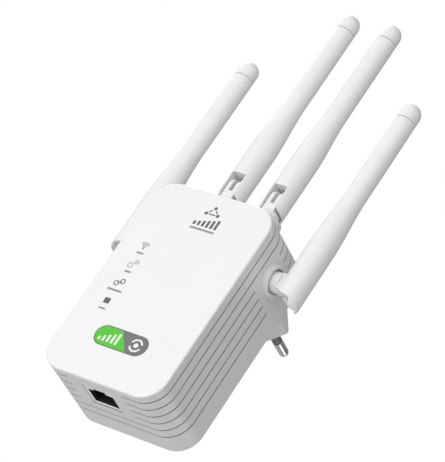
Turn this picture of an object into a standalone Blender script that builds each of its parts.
"""A plug-in wifi range extender with four folding antennas.

The frame: X runs to the right, Y to the back (the wall side) and Z up. The origin is the
centre of the plug block's end face, between the two pins. Lengths below are in millimetres
and angles in degrees; a mesh is scaled to metres as it is made.
"""
import math

import bmesh
import bpy
from mathutils import Matrix, Vector

MM = 0.001
GAP = 0.3                 # clearance that every two touching pieces keep

# ---- Enclosure ------------------------------------------------------------------------
BODY_WIDTH = 56.0
BODY_HEIGHT = 88.7
BODY_DEPTH = 37.0
CORNER_RADIUS = 10.0
WALL = 2.0
CORNER_STEPS = 4
COVER_EDGE = 1.6          # depth of the front cover's edge that shows from the side
COVER_SKIRT_DEPTH = 2.6   # how far the cover's skirt reaches into the shell
COVER_SKIRT_WALL = 1.2

# ---- Plug -----------------------------------------------------------------------------
PLUG_BLOCK_LENGTH = 21.0
PLUG_FROM_BOTTOM = 71.5   # height of the plug's centre above the body's bottom
PIN_SPACING = 19.0
PIN_LENGTH = 19.0
PIN_RADIUS = 2.0
PIN_NECK_RADIUS = 1.4
SLEEVE_LENGTH = 10.0
PLUG_BASE = {"half_width": 24.5, "side_half": 3.4, "half_height": 10.0, "flat_half": 12.0}
PLUG_END = {"half_width": 18.5, "side_half": 0.7, "half_height": 8.0, "flat_half": 11.0}
CARRIER = {"half_width": 15.2, "side_half": 0.4, "half_height": 5.2, "flat_half": 8.4}

# ---- Grooves round the shell's sides ----------------------------------------------------
GROOVE_COUNT = 6
GROOVE_FIRST = 4.7        # depth of the first groove behind the front face
GROOVE_PITCH = 4.45
GROOVE_WIDTH = 0.5
GROOVE_DEPTH = 0.5
GROOVES_PAST_HINGE = 2    # the front grooves that pass the side hinges unbroken
GROOVES_BY_JACK = 4       # the front grooves that stop on each side of the jack
HINGE_CLEAR_HALF = 8.9    # half length of the plain patch round a side hinge
TOP_CLEAR_HALF = 18.5     # half width of the plain patch under the top antennas

# ---- Antenna hinges ---------------------------------------------------------------------
SOCKET_DEPTH = 18.5       # hinge axes lie this far behind the front face
TOP_SOCKET_X = 10.0
TOP_PEDESTAL = 3.6        # the plinth under the top sockets, above the body
PLINTH_HALF_DEPTH = 6.9
PLINTH_WALL = 1.5
PLINTH_STEPS = 5
SIDE_SOCKET_DROP = 18.5   # below the body's top
JOURNAL_RADIUS = 3.0
JOURNAL_LENGTH = 5.6
COLLAR_RADIUS = 4.1
COLLAR_HEIGHT = 5.0
BOSS_RADIUS = 6.5
BOSS_RECESS_RADIUS = 5.0
BOSS_HEIGHT = 2.2
STOP_WIDTH = 2.4
STOP_HEIGHT = 1.8
STOP_ANGLE = 27.0         # the stop block stands this far round from the fold's plane
PIVOT_HEIGHT = 11.0       # hinge pin above the body's surface
PIVOT_PIN_RADIUS = 0.8
TONGUE_HALF_WIDTH = 2.6
TONGUE_HALF_DEPTH = 3.4
TONGUE_SLOT_HALF = 0.9
TONGUE_SLOT_DROP = 3.2    # the slot's bottom below the hinge pin

# ---- Antenna arms, measured from the hinge pin along the arm ------------------------------
ARM_BOTTOM = -8.6
ARM_END_BEVEL = 0.6
BARREL_RADIUS = 5.45
TUBE_RADIUS = 4.2
TAPER_START = 19.0
TAPER_END = 44.0
ARM_TIP = 89.8
CAP_SEAM = 82.0           # where the tip cap meets the tube
RING_GROOVE = 80.6        # the ring groove below the cap
BARREL_BORE = 4.5
NOTCH_HALF_WIDTH = 3.0
NOTCH_TOP = 4.8
SCOOP = ((-6.5, -4.0), (-4.5, -4.2), (-3.2, -4.9), (-2.0, -5.6), (0.2, -6.1), (1.8, -6.3),
         (2.7, -6.5), (3.1, -7.1), (3.3, -9.5), (-6.5, -9.5))
TUBE_BORE = 2.4
ARM_STEPS = 16

# ---- Network jack -------------------------------------------------------------------------
JACK_X = -1.8
JACK_FRONT = 6.6          # behind the front face
JACK_WIDTH = 14.2
JACK_DEPTH = 11.5
JACK_LENGTH = 18.0
JACK_OPENING_WIDTH = 11.8
JACK_OPENING_DEPTH = 7.9
JACK_CAVITY_LENGTH = 14.0
GROOVE_STOP_LEFT = -14.9
GROOVE_STOP_RIGHT = 11.0

# ---- Front: badge and indicator lights -----------------------------------------------------
BADGE_WIDTH = 24.2
BADGE_HEIGHT = 8.5
BADGE_FROM_BOTTOM = 18.7
BADGE_THICKNESS = 0.4
LED_X = -16.3
LED_TOP_FROM_BOTTOM = 58.3
LED_PITCH = 8.7
LED_NAMES = ("wifi_led", "system_led", "link_led", "lan_led")

# ---- Boards ----------------------------------------------------------------------------------
MAIN_BOARD_FRONT = 4.9    # behind the front face
BOARD_THICKNESS = 1.4
POWER_BOARD_GAP = 3.0     # from the shell's back wall

# ---- Side button ---------------------------------------------------------------------------------
BUTTON_FROM_BOTTOM = 34.0
BUTTON_DEPTH = 11.4       # behind the front face
BUTTON_LENGTH = 8.0
BUTTON_WIDTH = 2.6
BUTTON_PROUD = 0.5

# ---- Places worked out from the above --------------------------------------------------------------
HALF_WIDTH = BODY_WIDTH / 2
BACK_Y = -PLUG_BLOCK_LENGTH
FRONT_Y = BACK_Y - BODY_DEPTH
BOTTOM_Z = -PLUG_FROM_BOTTOM
TOP_Z = BOTTOM_Z + BODY_HEIGHT
MIDDLE_Z = BOTTOM_Z + BODY_HEIGHT / 2
SOCKET_Y = FRONT_Y + SOCKET_DEPTH
SIDE_SOCKET_Z = TOP_Z - SIDE_SOCKET_DROP
SHELL_FRONT_Y = FRONT_Y + COVER_EDGE + GAP
INNER_BACK_Y = BACK_Y - WALL
MAIN_BOARD_Y = FRONT_Y + MAIN_BOARD_FRONT
MAIN_BOARD_BACK_Y = MAIN_BOARD_Y + BOARD_THICKNESS
POWER_BOARD_Y = INNER_BACK_Y - POWER_BOARD_GAP - BOARD_THICKNESS
SCREW_X = HALF_WIDTH - 6.5
SCREW_HEIGHTS = (BOTTOM_Z + 7.0, TOP_Z - 7.0)


# ---- Materials ------------------------------------------------------------------------------------

def material(name, colour, roughness, metallic=0.0):
    """A Principled BSDF material of one colour."""
    made = bpy.data.materials.new(name)
    made.use_nodes = True
    shader = made.node_tree.nodes["Principled BSDF"]
    shader.inputs["Base Color"].default_value = (*colour, 1.0)
    shader.inputs["Roughness"].default_value = roughness
    shader.inputs["Metallic"].default_value = metallic
    made.diffuse_color = (*colour, 1.0)
    return made


# ---- Mesh tools -----------------------------------------------------------------------------------

def finish_object(name, bm, look, parent=None):
    """Turn a bmesh into a named object, flat areas flat and round areas smooth."""
    bmesh.ops.recalc_face_normals(bm, faces=bm.faces)
    mesh = bpy.data.meshes.new(name)
    bm.to_mesh(mesh)
    bm.free()
    mesh.shade_smooth()
    mesh.set_sharp_from_angle(angle=math.radians(35))
    made = bpy.data.objects.new(name, mesh)
    bpy.context.scene.collection.objects.link(made)
    made.parent = parent
    if look:
        mesh.materials.append(look)
    return made


def extruded(outline, start, end, axis="Y"):
    """A prism: an outline of two-number points, pushed along an axis from start to end."""
    place = {
        "X": lambda a, b: (start, a, b),
        "Y": lambda a, b: (a, start, b),
        "Z": lambda a, b: (a, b, start),
    }[axis]
    bm = bmesh.new()
    corners = [bm.verts.new(Vector(place(a, b)) * MM) for a, b in outline]
    face = bm.faces.new(corners)
    pushed = bmesh.ops.extrude_face_region(bm, geom=[face])
    moved = [item for item in pushed["geom"] if isinstance(item, bmesh.types.BMVert)]
    step = {"X": (1, 0, 0), "Y": (0, 1, 0), "Z": (0, 0, 1)}[axis]
    bmesh.ops.translate(bm, verts=moved, vec=Vector(step) * (end - start) * MM)
    return bm


def box(low, high):
    """A box between two opposite corners."""
    outline = [(low[0], low[2]), (high[0], low[2]), (high[0], high[2]), (low[0], high[2])]
    return extruded(outline, low[1], high[1])


def tapered(outline_a, outline_b, start, end):
    """A solid along Y whose outline changes from one shape to another."""
    bm = bmesh.new()
    loops = []
    for outline, place in ((outline_a, start), (outline_b, end)):
        corners = [bm.verts.new(Vector((x, place, z)) * MM) for x, z in outline]
        loops.append(bm.faces.new(corners))
    edges = [edge for loop in loops for edge in loop.edges]
    bmesh.ops.bridge_loops(bm, edges=edges)
    return bm


def turned(profile, steps=ARM_STEPS, hollow=False, axis="Z", centre=(0, 0, 0)):
    """A round solid: a profile of (radius, height) points spun about its axis.

    A hollow profile is a closed loop clear of the axis, as in a ring.
    """
    bm = bmesh.new()
    points = [bm.verts.new(Vector((radius, 0, height)) * MM) for radius, height in profile]
    pairs = list(zip(points, points[1:]))
    if hollow:
        pairs.append((points[-1], points[0]))
    edges = [bm.edges.new(pair) for pair in pairs]
    bmesh.ops.spin(bm, geom=points + edges, cent=(0, 0, 0), axis=(0, 0, 1),
                   angle=2 * math.pi, steps=steps, use_merge=True)
    bmesh.ops.remove_doubles(bm, verts=bm.verts, dist=1e-7)
    turn = {"X": Matrix.Rotation(math.pi / 2, 4, "Y"),
            "Y": Matrix.Rotation(-math.pi / 2, 4, "X"),
            "Z": Matrix.Identity(4)}[axis]
    bmesh.ops.transform(bm, matrix=turn, verts=bm.verts)
    bmesh.ops.translate(bm, verts=bm.verts, vec=Vector(centre) * MM)
    return bm


def rod(radius, start, end, steps=16, axis="Z", centre=(0, 0, 0)):
    """A plain round bar along an axis."""
    profile = [(0, start), (radius, start), (radius, end), (0, end)]
    return turned(profile, steps, axis=axis, centre=centre)


def tube(outer, inner, start, end, steps=16, axis="Z", centre=(0, 0, 0)):
    """A plain round tube along an axis."""
    profile = [(inner, start), (outer, start), (outer, end), (inner, end)]
    return turned(profile, steps, hollow=True, axis=axis, centre=centre)


def merged(*parts):
    """Several closed shapes in one bmesh."""
    whole = bmesh.new()
    for part in parts:
        mesh = bpy.data.meshes.new("part")
        part.to_mesh(mesh)
        part.free()
        whole.from_mesh(mesh)
        bpy.data.meshes.remove(mesh)
    return whole


def use_boolean(target, tool, operation):
    """Cut a tool from a target, or join it on, with a modifier."""
    tool.hide_render = True
    tool.display_type = "WIRE"
    modifier = target.modifiers.new(tool.name, "BOOLEAN")
    modifier.operation = operation
    modifier.object = tool


def cut(target, name, bm):
    """Cut a shape out of an object."""
    use_boolean(target, finish_object(name, bm, None, target.parent), "DIFFERENCE")


def join(target, name, bm):
    """Join a shape on to an object."""
    use_boolean(target, finish_object(name, bm, None, target.parent), "UNION")


def wire(name, points, radius, look):
    """A round wire on a smooth curve through the given points."""
    curve = bpy.data.curves.new(name, "CURVE")
    curve.dimensions = "3D"
    curve.bevel_depth = radius * MM
    curve.bevel_resolution = 1
    curve.use_fill_caps = True
    curve.resolution_u = 4
    spline = curve.splines.new("BEZIER")
    spline.bezier_points.add(len(points) - 1)
    for knot, point in zip(spline.bezier_points, points):
        knot.co = Vector(point) * MM
        knot.handle_left_type = "AUTO"
        knot.handle_right_type = "AUTO"
    curve.materials.append(look)
    made = bpy.data.objects.new(name, curve)
    bpy.context.scene.collection.objects.link(made)
    return made


def rounded_outline(width, height, radius, centre=(0.0, 0.0), steps=CORNER_STEPS):
    """A rectangle's outline with round corners."""
    points = []
    for corner in range(4):
        side_x = 1 if corner in (0, 3) else -1
        side_y = 1 if corner in (0, 1) else -1
        middle_x = centre[0] + side_x * (width / 2 - radius)
        middle_y = centre[1] + side_y * (height / 2 - radius)
        for step in range(steps + 1):
            angle = math.radians(90) * (corner + step / steps)
            points.append((middle_x + radius * math.cos(angle),
                           middle_y + radius * math.sin(angle)))
    return points


def body_outline(inset, steps=CORNER_STEPS):
    """The body's outline seen from the front, shrunk by an inset."""
    return rounded_outline(BODY_WIDTH - 2 * inset, BODY_HEIGHT - 2 * inset,
                           CORNER_RADIUS - inset, (0, MIDDLE_Z), steps)


def hexagon(shape):
    """The plug block's six-sided outline, whose side corners are blunt."""
    right = [(shape["half_width"], shape["side_half"]), (shape["flat_half"], shape["half_height"])]
    top = right + [(-x, z) for x, z in reversed(right)]
    return top + [(x, -z) for x, z in reversed(top)]


def shrunk(shape, inset):
    """A plug outline with walls of the inset's thickness taken off."""
    return {side: size - inset * (0.3 if side == "side_half" else 1.0)
            for side, size in shape.items()}


# ---- Enclosure ------------------------------------------------------------------------------------

def front_cover(look):
    """The glossy front, a shallow pan whose skirt slides into the rear shell."""
    cover = finish_object("front_cover", extruded(body_outline(0), FRONT_Y, FRONT_Y + COVER_EDGE), look)
    rounding = cover.modifiers.new("rounded_front_edge", "BEVEL")
    rounding.width = 0.7 * MM
    rounding.segments = 2
    rounding.limit_method = "ANGLE"
    rounding.angle_limit = math.radians(60)

    skirt_inset = WALL + GAP
    skirt_end = FRONT_Y + COVER_EDGE + COVER_SKIRT_DEPTH
    skirt = extruded(body_outline(skirt_inset), FRONT_Y + COVER_EDGE / 2, skirt_end)
    join(cover, "cutter_cover_skirt", skirt)
    hollow = extruded(body_outline(skirt_inset + COVER_SKIRT_WALL), FRONT_Y + COVER_EDGE, skirt_end + 1)
    cut(cover, "cutter_cover_hollow", hollow)

    badge_seat = rounded_outline(BADGE_WIDTH + 2 * GAP, BADGE_HEIGHT + 2 * GAP, BADGE_HEIGHT / 2 + GAP,
                                 (0, BOTTOM_Z + BADGE_FROM_BOTTOM))
    cut(cover, "cutter_badge_seat",
        extruded(badge_seat, FRONT_Y - 1, FRONT_Y + BADGE_THICKNESS + GAP))
    pockets = [rod(1.4, FRONT_Y + 0.7, FRONT_Y + COVER_EDGE + 1, 12, "Y", (LED_X, 0, height))
               for height in led_heights()]
    cut(cover, "cutter_light_pockets", merged(*pockets))
    posts = [rod(2.9, FRONT_Y + COVER_EDGE / 2, screw_seam_y() - GAP, 16, "Y", (x, 0, z))
             for x, z in screw_places()]
    join(cover, "cutter_screw_posts", merged(*posts))
    bores = [rod(1.4, FRONT_Y + COVER_EDGE + 1, screw_seam_y() + 1, 12, "Y", (x, 0, z))
             for x, z in screw_places()]
    cut(cover, "cutter_screw_bores", merged(*bores))
    return cover


def led_heights():
    """The heights of the four indicator lights, from the top one down."""
    top = BOTTOM_Z + LED_TOP_FROM_BOTTOM
    return [top - LED_PITCH * place for place in range(len(LED_NAMES))]


def screw_places():
    """The four case screws, near the body's corners."""
    return [(side * SCREW_X, height) for height in SCREW_HEIGHTS for side in (-1, 1)]


def screw_seam_y():
    """Where a cover post meets the shell's screw well."""
    return FRONT_Y + BODY_DEPTH / 2 - 1.3


def groove_ring(depth_behind_front):
    """One groove's cutter: a frame round the body, as deep as the groove."""
    start = FRONT_Y + depth_behind_front - GROOVE_WIDTH / 2
    outer = extruded(body_outline(-1.0), start, start + GROOVE_WIDTH)
    ring = finish_object("cutter_ring", outer, None)
    inner = extruded(body_outline(GROOVE_DEPTH), start - 1, start + GROOVE_WIDTH + 1)
    cut(ring, "cutter_ring_core", inner)
    return ring


def groove_breaks(number):
    """Boxes where a groove is interrupted, by its number from the front."""
    low_y, high_y = FRONT_Y, BACK_Y
    breaks = []
    if number < GROOVES_BY_JACK:
        breaks.append(box((GROOVE_STOP_LEFT, low_y, BOTTOM_Z - 2), (GROOVE_STOP_RIGHT, high_y, BOTTOM_Z + 2)))
    if number >= GROOVES_PAST_HINGE:
        for side in (-1, 1):
            near, far = sorted((side * (HALF_WIDTH - 2), side * (HALF_WIDTH + 2)))
            breaks.append(box((near, low_y, SIDE_SOCKET_Z - HINGE_CLEAR_HALF),
                              (far, high_y, SIDE_SOCKET_Z + HINGE_CLEAR_HALF)))
        breaks.append(box((-TOP_CLEAR_HALF, low_y, TOP_Z - 2), (TOP_CLEAR_HALF, high_y, TOP_Z + 2)))
    return breaks


def cut_grooves(shell):
    """Cut the decorative grooves, each one a ring with its breaks taken out."""
    for number in range(GROOVE_COUNT):
        ring = groove_ring(GROOVE_FIRST + number * GROOVE_PITCH)
        ring.name = f"cutter_groove_{number + 1}"
        breaks = groove_breaks(number)
        if breaks:
            cut(ring, f"cutter_break_{number + 1}", merged(*breaks))
        use_boolean(shell, ring, "DIFFERENCE")


def rear_shell(look):
    """The deep rear shell with its plug block, hinge bosses, jack cutout and screw wells."""
    shell = finish_object("rear_shell", extruded(body_outline(0), SHELL_FRONT_Y, BACK_Y), look)
    rounding = shell.modifiers.new("rounded_back_edge", "BEVEL")
    rounding.width = 0.6 * MM
    rounding.segments = 1
    rounding.limit_method = "ANGLE"
    rounding.angle_limit = math.radians(60)

    block = tapered(hexagon(PLUG_BASE), hexagon(PLUG_END), BACK_Y - 0.5, 0)
    join(shell, "cutter_plug_block", block)
    join_hinge_bosses(shell)
    cut(shell, "cutter_cavity", extruded(body_outline(WALL), SHELL_FRONT_Y - 1, INNER_BACK_Y))
    hollow = tapered(hexagon(shrunk(PLUG_BASE, WALL)), hexagon(shrunk(PLUG_END, WALL)),
                     INNER_BACK_Y - 1, -WALL)
    cut(shell, "cutter_plug_hollow", hollow)
    cut(shell, "cutter_plinth_hollow",
        extruded(plinth_outline(PLINTH_WALL), TOP_Z - WALL - 1, TOP_Z + TOP_PEDESTAL - WALL, "Z"))
    wells = [rod(3.7, screw_seam_y(), INNER_BACK_Y + 0.5, 16, "Y", (x, 0, z)) for x, z in screw_places()]
    join(shell, "cutter_wells", merged(*wells))
    rests = [rod(1.6, POWER_BOARD_Y + BOARD_THICKNESS + GAP, INNER_BACK_Y + 0.5, 10, "Y", (x, 0, z))
             for x in (-15, 15) for z in (BOTTOM_Z + 29, BOTTOM_Z + 53)]
    join(shell, "cutter_board_rests", merged(*rests))
    cut_shell_openings(shell)
    cut_grooves(shell)
    return shell


def socket_frames():
    """Each antenna's name, with the matrix of its socket: +Z outward, folding to -Y."""
    upright = Matrix.Identity(3)
    right = Matrix(((0, 0, 1), (-1, 0, 0), (0, -1, 0)))
    left = Matrix(((0, 0, -1), (1, 0, 0), (0, -1, 0)))
    places = {
        "left": ((-HALF_WIDTH, SOCKET_Y, SIDE_SOCKET_Z), left),
        "top_left": ((-TOP_SOCKET_X, SOCKET_Y, TOP_Z + TOP_PEDESTAL), upright),
        "top_right": ((TOP_SOCKET_X, SOCKET_Y, TOP_Z + TOP_PEDESTAL), upright),
        "right": ((HALF_WIDTH, SOCKET_Y, SIDE_SOCKET_Z), right),
    }
    return {name: Matrix.Translation(Vector(place) * MM) @ turn.to_4x4()
            for name, (place, turn) in places.items()}


def plinth_outline(inset):
    """The outline from above of the plinth under the top sockets, shrunk by an inset."""
    half_depth = PLINTH_HALF_DEPTH - inset
    return rounded_outline(2 * (TOP_SOCKET_X + half_depth), 2 * half_depth, half_depth - 0.01,
                           (0, SOCKET_Y), PLINTH_STEPS)


def join_hinge_bosses(shell):
    """A raised ring with a small stop block round each antenna's socket."""
    join(shell, "cutter_plinth", extruded(plinth_outline(0), TOP_Z - 0.5, TOP_Z + TOP_PEDESTAL, "Z"))
    for name, frame in socket_frames().items():
        profile = [(BOSS_RECESS_RADIUS, -0.5), (BOSS_RADIUS, -0.5), (BOSS_RADIUS, 1.2),
                   (BOSS_RADIUS - 0.3, 1.8), (BOSS_RADIUS - 0.8, BOSS_HEIGHT),
                   (BOSS_RECESS_RADIUS, BOSS_HEIGHT)]
        ring = turned(profile, ARM_STEPS, hollow=True)
        bmesh.ops.transform(ring, matrix=frame, verts=ring.verts)
        join(shell, f"cutter_{name}_boss", ring)
        stop = box((-STOP_WIDTH / 2, COLLAR_RADIUS + GAP, -0.5),
                   (STOP_WIDTH / 2, BOSS_RECESS_RADIUS + 0.6, STOP_HEIGHT))
        turn = Matrix.Rotation(math.radians(STOP_ANGLE), 4, "Z")
        bmesh.ops.transform(stop, matrix=frame @ turn, verts=stop.verts)
        join(shell, f"cutter_{name}_stop", stop)


def cut_shell_openings(shell):
    """The jack's window, the button's slot, and the holes for hinges, pins and screws."""
    left, right = JACK_X - JACK_WIDTH / 2 - GAP, JACK_X + JACK_WIDTH / 2 + GAP
    front, back = FRONT_Y + JACK_FRONT - GAP, FRONT_Y + JACK_FRONT + JACK_DEPTH + GAP
    cut(shell, "cutter_jack_window", box((left, front, BOTTOM_Z - 1), (right, back, BOTTOM_Z + WALL + 1)))

    slot = rounded_outline(BUTTON_WIDTH + 2 * GAP, BUTTON_LENGTH + 2 * GAP, BUTTON_WIDTH / 2 + GAP,
                           (FRONT_Y + BUTTON_DEPTH, BOTTOM_Z + BUTTON_FROM_BOTTOM), 4)
    cut(shell, "cutter_button_slot", extruded(slot, -HALF_WIDTH - 1, -HALF_WIDTH + WALL + 1, "X"))

    sockets = []
    for frame in socket_frames().values():
        hole = rod(JOURNAL_RADIUS + GAP, -WALL - 1, 1, ARM_STEPS)
        bmesh.ops.transform(hole, matrix=frame, verts=hole.verts)
        sockets.append(hole)
    cut(shell, "cutter_sockets", merged(*sockets))

    pin_holes = [rod(PIN_RADIUS + GAP, -WALL - 1, 1, 16, "Y", (side * PIN_SPACING / 2, 0, 0))
                 for side in (-1, 1)]
    cut(shell, "cutter_pin_holes", merged(*pin_holes))

    seam = screw_seam_y()
    profile = [(0, seam - 1), (1.4, seam - 1), (1.4, seam + 2), (2.5, seam + 2), (2.5, BACK_Y + 1),
               (0, BACK_Y + 1)]
    wells = [turned(profile, 16, axis="Y", centre=(x, 0, z)) for x, z in screw_places()]
    cut(shell, "cutter_screw_wells", merged(*wells))


def badge(look):
    """The pill-shaped badge, set into the front cover."""
    outline = rounded_outline(BADGE_WIDTH, BADGE_HEIGHT, BADGE_HEIGHT / 2 - 0.01,
                              (0, BOTTOM_Z + BADGE_FROM_BOTTOM))
    return finish_object("front_badge", extruded(outline, FRONT_Y, FRONT_Y + BADGE_THICKNESS), look)


def case_screw(name, x, z, look):
    """A cheese-head screw deep in its well, with a cross slot."""
    head_y = screw_seam_y() + 2 + GAP
    profile = [(0, head_y - 12), (1.1, head_y - 11), (1.1, head_y), (2.1, head_y), (2.1, head_y + 1.6),
               (0, head_y + 1.6)]
    screw = finish_object(name, turned(profile, 12, axis="Y", centre=(x, 0, z)), look)
    cross = merged(box((x - 1.4, head_y + 0.8, z - 0.3), (x + 1.4, head_y + 3, z + 0.3)))
    cut(screw, f"cutter_{name}_slot", cross)
    return screw


# ---- Plug ---------------------------------------------------------------------------------------

def plug_pin(side, look):
    """A round pin with a neck for its sleeve, a flange behind the wall and a solder tail."""
    name = f"{'left' if side < 0 else 'right'}_plug_pin"
    flange = -WALL - GAP
    rounding = [(PIN_RADIUS * math.cos(angle), PIN_LENGTH - PIN_RADIUS + PIN_RADIUS * math.sin(angle))
                for angle in (math.radians(step * 22.5) for step in range(4))]
    profile = [(0, -10.0), (1.6, -10.0), (1.6, flange - 1.5), (3.2, flange - 1.5), (3.2, flange),
               (PIN_NECK_RADIUS, flange), (PIN_NECK_RADIUS, SLEEVE_LENGTH), (PIN_RADIUS, SLEEVE_LENGTH)]
    profile += rounding + [(0, PIN_LENGTH)]
    centre = (side * PIN_SPACING / 2, 0, 0)
    return finish_object(name, turned(profile, 16, axis="Y", centre=centre), look)


def pin_sleeve(side, look):
    """The insulating sleeve round a pin's neck."""
    name = f"{'left' if side < 0 else 'right'}_pin_sleeve"
    sleeve = tube(PIN_RADIUS, PIN_NECK_RADIUS + GAP, -WALL, SLEEVE_LENGTH - GAP, 16, "Y",
                  (side * PIN_SPACING / 2, 0, 0))
    return finish_object(name, sleeve, look)


def pin_carrier(look):
    """The plate inside the plug block that holds both pins by their flanges."""
    front = -WALL - GAP - 1.5 - GAP
    carrier = finish_object("pin_carrier", extruded(hexagon(CARRIER), front - 4.0, front), look)
    holes = [rod(1.6 + GAP, front - 5, front + 1, 12, "Y", (side * PIN_SPACING / 2, 0, 0))
             for side in (-1, 1)]
    cut(carrier, "cutter_carrier_holes", merged(*holes))
    return carrier


def mains_lead(side, look):
    """A short wire from a pin's tail to the power board."""
    name = f"{'left' if side < 0 else 'right'}_mains_lead"
    x = side * PIN_SPACING / 2
    end = POWER_BOARD_Y + BOARD_THICKNESS + GAP
    middle = (end - 10.3) / 2
    return wire(name, [(x, -10.3, 0), (x + side * 1.5, middle, -0.8), (x, end, 0)], 0.7, look)


# ---- Electronics --------------------------------------------------------------------------------

def main_board(look):
    """The main board behind the front, narrower at the jack end to clear the screw posts."""
    low, shoulder, high = BOTTOM_Z + 3.0, BOTTOM_Z + 11.5, TOP_Z - 11.5
    outline = [(-17, low), (17, low), (17, shoulder), (23.7, shoulder), (23.7, high), (-23.7, high),
               (-23.7, shoulder), (-17, shoulder)]
    return finish_object("main_board", extruded(outline, MAIN_BOARD_Y, MAIN_BOARD_BACK_Y), look)


def power_board(look):
    """The mains board against the shell's back wall."""
    outline = rounded_outline(38, 50, 1.0, (0, BOTTOM_Z + 52), 1)
    return finish_object("power_board",
                         extruded(outline, POWER_BOARD_Y, POWER_BOARD_Y + BOARD_THICKNESS), look)


def transformer(look):
    """A ferrite transformer: a core with a wound middle."""
    back = POWER_BOARD_Y - GAP
    low = BOTTOM_Z + 31
    core = box((-13, back - 12, low), (3, back, low + 4))
    made = finish_object("transformer", core, look)
    join(made, "cutter_transformer_top", box((-13, back - 12, low + 11), (3, back, low + 15)))
    join(made, "cutter_transformer_winding", box((-12, back - 11, low + 3), (2, back - 1, low + 12)))
    return made


def bulk_capacitor(look):
    """The mains capacitor lying on the power board."""
    radius = 4.0
    centre = (10.5, POWER_BOARD_Y - GAP - radius, 0)
    low = BOTTOM_Z + 31
    profile = [(0, low), (radius - 0.4, low), (radius, low + 0.4), (radius, low + 13.6),
               (radius - 0.4, low + 14), (0, low + 14)]
    return finish_object("bulk_capacitor", turned(profile, 16, centre=centre), look)


def rf_shield(look):
    """The pressed shield can over the radio, open towards the board."""
    front, back = MAIN_BOARD_BACK_Y + GAP, MAIN_BOARD_BACK_Y + GAP + 2.6
    low, high = BOTTOM_Z + 34, BOTTOM_Z + 56
    can = finish_object("rf_shield", box((-10, front, low), (12, back, high)), look)
    cut(can, "cutter_shield_inside", box((-9.6, front - 1, low + 0.4), (11.6, back - 0.4, high - 0.4)))
    return can


def jack_box():
    """The jack's outer corners."""
    low = (JACK_X - JACK_WIDTH / 2, FRONT_Y + JACK_FRONT, BOTTOM_Z + 0.4)
    high = (JACK_X + JACK_WIDTH / 2, low[1] + JACK_DEPTH, low[2] + JACK_LENGTH)
    return low, high


def ethernet_jack(look):
    """The network jack: a housing with the plug's cavity and its latch slot."""
    low, high = jack_box()
    jack = finish_object("ethernet_jack", box(low, high), look)
    half = JACK_OPENING_WIDTH / 2
    top = low[2] + JACK_CAVITY_LENGTH
    back = high[1] - 0.9
    front = back - JACK_OPENING_DEPTH
    cavity = box((JACK_X - half, front, low[2] - 1), (JACK_X + half, back, top))
    cut(jack, "cutter_jack_cavity", cavity)
    latch = box((JACK_X - 3.1, front - 1.3, low[2] - 1), (JACK_X + 3.1, front + 0.1, top - 4))
    cut(jack, "cutter_jack_latch", latch)
    return jack


def jack_contacts(look):
    """The row of eight spring contacts on one carrier inside the jack."""
    low, high = jack_box()
    wall = high[1] - 0.9 - GAP
    top = low[2] + JACK_CAVITY_LENGTH - GAP
    base = finish_object("jack_contacts", box((JACK_X - 5, wall - 1.0, top - 2), (JACK_X + 5, wall, top)), look)
    fingers = []
    for number in range(8):
        x = JACK_X + (number - 3.5) * 1.02
        outline = [(wall - 0.7, top - 1), (wall - 0.3, top - 1), (wall - 0.3, low[2] + 3),
                   (wall - 1.5, low[2] + 5), (wall - 1.3, low[2] + 6)]
        fingers.append(extruded(outline, x - 0.22, x + 0.22, "X"))
    join(base, "cutter_contact_fingers", merged(*fingers))
    return base


def led(name, height, look):
    """One indicator light on the main board's front."""
    back = MAIN_BOARD_Y - GAP
    return finish_object(name, box((LED_X - 1.0, back - 0.8, height - 0.6), (LED_X + 1.0, back, height + 0.6)), look)


def light_guide(look):
    """The clear bar with four pegs that carries the lights to the front cover."""
    heights = led_heights()
    back = MAIN_BOARD_Y - GAP - 0.8 - GAP
    front = FRONT_Y + COVER_EDGE + GAP
    bar = box((LED_X - 1.6, front, heights[-1] - 1.6), (LED_X + 1.6, back, heights[0] + 1.6))
    guide = finish_object("light_guide", bar, look)
    pegs = [rod(1.1, FRONT_Y + 1.0, back - 0.5, 12, "Y", (LED_X, 0, height)) for height in heights]
    join(guide, "cutter_guide_pegs", merged(*pegs))
    return guide


def wps_button(look):
    """The pairing button: a pill with a flange inside the wall and a short stem."""
    centre = (FRONT_Y + BUTTON_DEPTH, BOTTOM_Z + BUTTON_FROM_BOTTOM)
    inner_wall = -HALF_WIDTH + WALL
    pill = rounded_outline(BUTTON_WIDTH, BUTTON_LENGTH, BUTTON_WIDTH / 2 - 0.01, centre, 4)
    button = finish_object("wps_button", extruded(pill, -HALF_WIDTH - BUTTON_PROUD, inner_wall + 0.8, "X"), look)
    flange = rounded_outline(BUTTON_WIDTH + 1.6, BUTTON_LENGTH + 1.6, 1.4, centre, 3)
    join(button, "cutter_button_flange", extruded(flange, inner_wall + GAP, inner_wall + GAP + 0.8, "X"))
    return button


def wps_switch(look):
    """The tact switch under the button, on the main board."""
    y, z = FRONT_Y + BUTTON_DEPTH, BOTTOM_Z + BUTTON_FROM_BOTTOM
    front = MAIN_BOARD_BACK_Y + GAP
    left = -HALF_WIDTH + WALL + 3.0
    switch = finish_object("wps_switch", box((left, front, z - 3), (left + 3.6, y + 2.6, z + 3)), look)
    join(switch, "cutter_switch_plunger", rod(1.2, left - 1.2, left + 1, 12, "X", (0, y, z)))
    return switch


# ---- Antennas ----------------------------------------------------------------------------------

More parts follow.
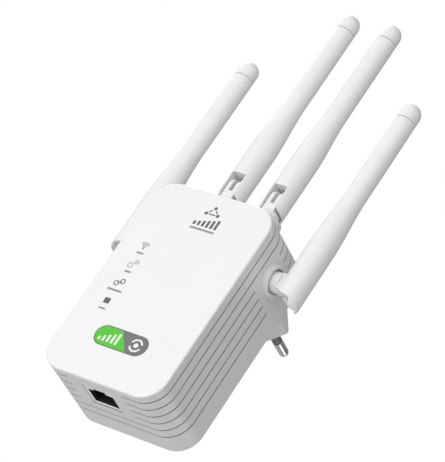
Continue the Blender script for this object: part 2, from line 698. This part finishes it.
def knuckle(name, parent, look):
    """The part that turns in the socket: journal, collar and slotted tongue."""
    top = COLLAR_HEIGHT
    profile = [(0, -JOURNAL_LENGTH), (JOURNAL_RADIUS, -JOURNAL_LENGTH), (JOURNAL_RADIUS, -WALL - 1.4),
               (2.3, -WALL - 1.4), (2.3, -WALL), (JOURNAL_RADIUS, -WALL), (JOURNAL_RADIUS, GAP),
               (COLLAR_RADIUS, GAP), (COLLAR_RADIUS, top - 0.9), (COLLAR_RADIUS - 0.3, top - 0.3),
               (COLLAR_RADIUS - 1.0, top), (0, top)]
    made = finish_object(name, turned(profile), look, parent)
    rounding = [(TONGUE_HALF_DEPTH * math.cos(angle), PIVOT_HEIGHT + TONGUE_HALF_DEPTH * math.sin(angle))
                for angle in (math.radians(30 * step) for step in range(7))]
    outline = [(-TONGUE_HALF_DEPTH, top - 1), (TONGUE_HALF_DEPTH, top - 1)] + rounding
    join(made, f"cutter_{name}_tongue",
         extruded(outline, -TONGUE_HALF_WIDTH, TONGUE_HALF_WIDTH, "X"))
    slot = box((-TONGUE_SLOT_HALF, -TONGUE_HALF_DEPTH - 1, PIVOT_HEIGHT - TONGUE_SLOT_DROP),
               (TONGUE_SLOT_HALF, 1.0, PIVOT_HEIGHT + TONGUE_HALF_DEPTH + 1))
    cut(made, f"cutter_{name}_slot", slot)
    cut(made, f"cutter_{name}_bore", rod(0.8, -JOURNAL_LENGTH - 1, top + 3, 10))
    cut(made, f"cutter_{name}_pivot",
        rod(PIVOT_PIN_RADIUS + GAP, -TONGUE_HALF_WIDTH - 1, TONGUE_HALF_WIDTH + 1, 12, "X",
            (0, 0, PIVOT_HEIGHT)))
    return made


def retaining_clip(name, parent, look):
    """The spring clip in the journal's groove, inside the wall."""
    top = -WALL - GAP
    clip = finish_object(name, tube(5.0, 2.3 + GAP, top - 0.8, top, 18), look, parent)
    cut(clip, f"cutter_{name}_mouth", box((-1.6, 0, top - 2), (1.6, 7, top + 2)))
    return clip


def arm_radius(height):
    """The arm's radius at a height above the pin: a thick barrel easing into a slim tube."""
    share = min(max((height - TAPER_START) / (TAPER_END - TAPER_START), 0.0), 1.0)
    eased = share * share * (3 - 2 * share)
    return BARREL_RADIUS + (TUBE_RADIUS - BARREL_RADIUS) * eased


def antenna_arm(name, parent, look):
    """The hollow arm: a notched barrel round the tongue, then the slim tube."""
    outline = [(0, ARM_BOTTOM), (BARREL_RADIUS - ARM_END_BEVEL, ARM_BOTTOM),
               (BARREL_RADIUS, ARM_BOTTOM + 2 * ARM_END_BEVEL)]
    taper_steps = 4
    for step in range(taper_steps + 1):
        height = TAPER_START + (TAPER_END - TAPER_START) * step / taper_steps
        outline.append((arm_radius(height), height))
    groove = 0.25
    outline += [(TUBE_RADIUS, RING_GROOVE - groove), (TUBE_RADIUS - groove, RING_GROOVE),
                (TUBE_RADIUS, RING_GROOVE + groove), (TUBE_RADIUS, CAP_SEAM - GAP / 2), (0, CAP_SEAM - GAP / 2)]
    arm = finish_object(name, turned(outline), look, parent)
    cut(arm, f"cutter_{name}_bore", rod(TUBE_BORE, 0, CAP_SEAM + 1, 16))
    cut(arm, f"cutter_{name}_hollow", rod(BARREL_BORE, ARM_BOTTOM - 1, -3.6, ARM_STEPS))
    notch = box((-NOTCH_HALF_WIDTH, -BARREL_RADIUS - 1, ARM_BOTTOM - 1),
                (NOTCH_HALF_WIDTH, BARREL_BORE - 0.7, NOTCH_TOP))
    cut(arm, f"cutter_{name}_notch", notch)
    cut(arm, f"cutter_{name}_scoop", extruded(SCOOP, -BARREL_RADIUS - 1, BARREL_RADIUS + 1, "X"))
    cut(arm, f"cutter_{name}_pivot", rod(PIVOT_PIN_RADIUS + GAP, -4.9, 4.9, 12, "X"))
    return arm


def antenna_cap(name, parent, look):
    """The domed tip cap with a spigot that plugs the tube."""
    start = CAP_SEAM + GAP / 2
    dome_centre = ARM_TIP - TUBE_RADIUS
    dome = [(TUBE_RADIUS * math.cos(angle), dome_centre + TUBE_RADIUS * math.sin(angle))
            for angle in (math.radians(step * 22.5) for step in range(4))]
    spigot = TUBE_BORE - GAP
    profile = [(0, start - 4), (spigot, start - 4), (spigot, start), (TUBE_RADIUS, start)]
    return finish_object(name, turned(profile + dome + [(0, ARM_TIP)]), look, parent)


def pivot_pin(name, parent, look):
    """The steel pin that joins an arm to its knuckle."""
    return finish_object(name, rod(PIVOT_PIN_RADIUS, -4.6, 4.6, 12, "X"), look, parent)


def radiator(name, parent, look):
    """The brass radiator inside an arm, centred by two collars."""
    collar = TUBE_BORE - GAP
    profile = [(0, 12), (1.2, 12), (1.2, 20), (collar, 20), (collar, 22), (1.2, 22), (1.2, 60),
               (collar, 60), (collar, 62), (1.2, 62), (1.2, 76), (0, 76)]
    return finish_object(name, turned(profile, 12), look, parent)


def coax_tail(name, frame, end, look):
    """The coaxial lead from a knuckle's bore to the main board."""
    start = frame @ Vector((0, 0, -(JOURNAL_LENGTH + GAP) * MM)) / MM
    inward = frame @ Vector((0, 0, -(JOURNAL_LENGTH + 4.0) * MM)) / MM
    end = Vector(end)
    knee = end + Vector((0, 6.0, 0))
    return wire(name, [start, inward, knee, end], 0.55, look)


def antenna(name, frame, folded, looks):
    """One antenna: its turning knuckle, and the arm that folds on it."""
    swivel = bpy.data.objects.new(f"{name}_swivel", None)
    bpy.context.scene.collection.objects.link(swivel)
    swivel.matrix_world = frame
    fold = bpy.data.objects.new(f"{name}_fold", None)
    bpy.context.scene.collection.objects.link(fold)
    fold.parent = swivel
    fold.location = (0, 0, PIVOT_HEIGHT * MM)
    fold.rotation_euler = (math.radians(folded), 0, 0)

    knuckle(f"{name}_knuckle", swivel, looks["white"])
    retaining_clip(f"{name}_retaining_clip", swivel, looks["steel"])
    antenna_arm(f"{name}_antenna_arm", fold, looks["white"])
    antenna_cap(f"{name}_antenna_cap", fold, looks["white"])
    pivot_pin(f"{name}_pivot_pin", fold, looks["steel"])
    radiator(f"{name}_radiator", fold, looks["brass"])


# ---- The whole extender ----------------------------------------------------------------------------

def make_materials():
    """One material for each kind of surface."""
    return {
        "white": material("white_plastic", (0.80, 0.80, 0.79), 0.35),
        "shell": material("shell_plastic", (0.76, 0.76, 0.76), 0.42),
        "front": material("front_plastic", (0.84, 0.84, 0.84), 0.25),
        "badge": material("badge_print", (0.10, 0.60, 0.05), 0.30),
        "button": material("button_plastic", (0.70, 0.70, 0.70), 0.40),
        "sleeve": material("sleeve_plastic", (0.05, 0.05, 0.055), 0.45),
        "chrome": material("pin_nickel", (0.75, 0.75, 0.76), 0.15, 1.0),
        "steel": material("clip_steel", (0.55, 0.55, 0.56), 0.30, 1.0),
        "brass": material("radiator_brass", (0.75, 0.55, 0.25), 0.30, 1.0),
        "board": material("board_green", (0.02, 0.15, 0.06), 0.50),
        "black": material("black_plastic", (0.02, 0.02, 0.02), 0.45),
        "jack": material("jack_plastic", (0.78, 0.78, 0.77), 0.40),
        "gold": material("contact_gold", (0.80, 0.60, 0.25), 0.25, 1.0),
        "clear": material("light_guide_clear", (0.90, 0.92, 0.92), 0.15),
    }


def make_antennas(looks):
    """The two upright top antennas and the two side ones, folded up beside the body."""
    board_y = MAIN_BOARD_BACK_Y + GAP
    lead_ends = {"left": (-17.0, board_y, SIDE_SOCKET_Z - 12), "top_left": (-7.0, board_y, TOP_Z - 16),
                 "top_right": (7.0, board_y, TOP_Z - 16), "right": (17.0, board_y, SIDE_SOCKET_Z - 12)}
    for name, frame in socket_frames().items():
        folded = 90 if name in ("left", "right") else 0
        antenna(name, frame, folded, looks)
        coax_tail(f"{name}_coax_tail", frame, lead_ends[name], looks["black"])


def make_electronics(looks):
    """Everything inside the enclosure apart from the antennas' own parts."""
    main_board(looks["board"])
    power_board(looks["board"])
    transformer(looks["black"])
    bulk_capacitor(looks["black"])
    rf_shield(looks["steel"])
    ethernet_jack(looks["jack"])
    jack_contacts(looks["gold"])
    light_guide(looks["clear"])
    for name, height in zip(LED_NAMES, led_heights()):
        led(name, height, looks["clear"])
    wps_switch(looks["black"])


def main():
    """Clear the scene and build every piece."""
    for old in list(bpy.data.objects):
        bpy.data.objects.remove(old)
    looks = make_materials()
    front_cover(looks["front"])
    rear_shell(looks["shell"])
    badge(looks["badge"])
    wps_button(looks["button"])
    for number, (x, z) in enumerate(screw_places()):
        case_screw(f"case_screw_{number + 1}", x, z, looks["steel"])
    for side in (-1, 1):
        plug_pin(side, looks["chrome"])
        pin_sleeve(side, looks["sleeve"])
        mains_lead(side, looks["black"])
    pin_carrier(looks["black"])
    make_electronics(looks)
    make_antennas(looks)


main()
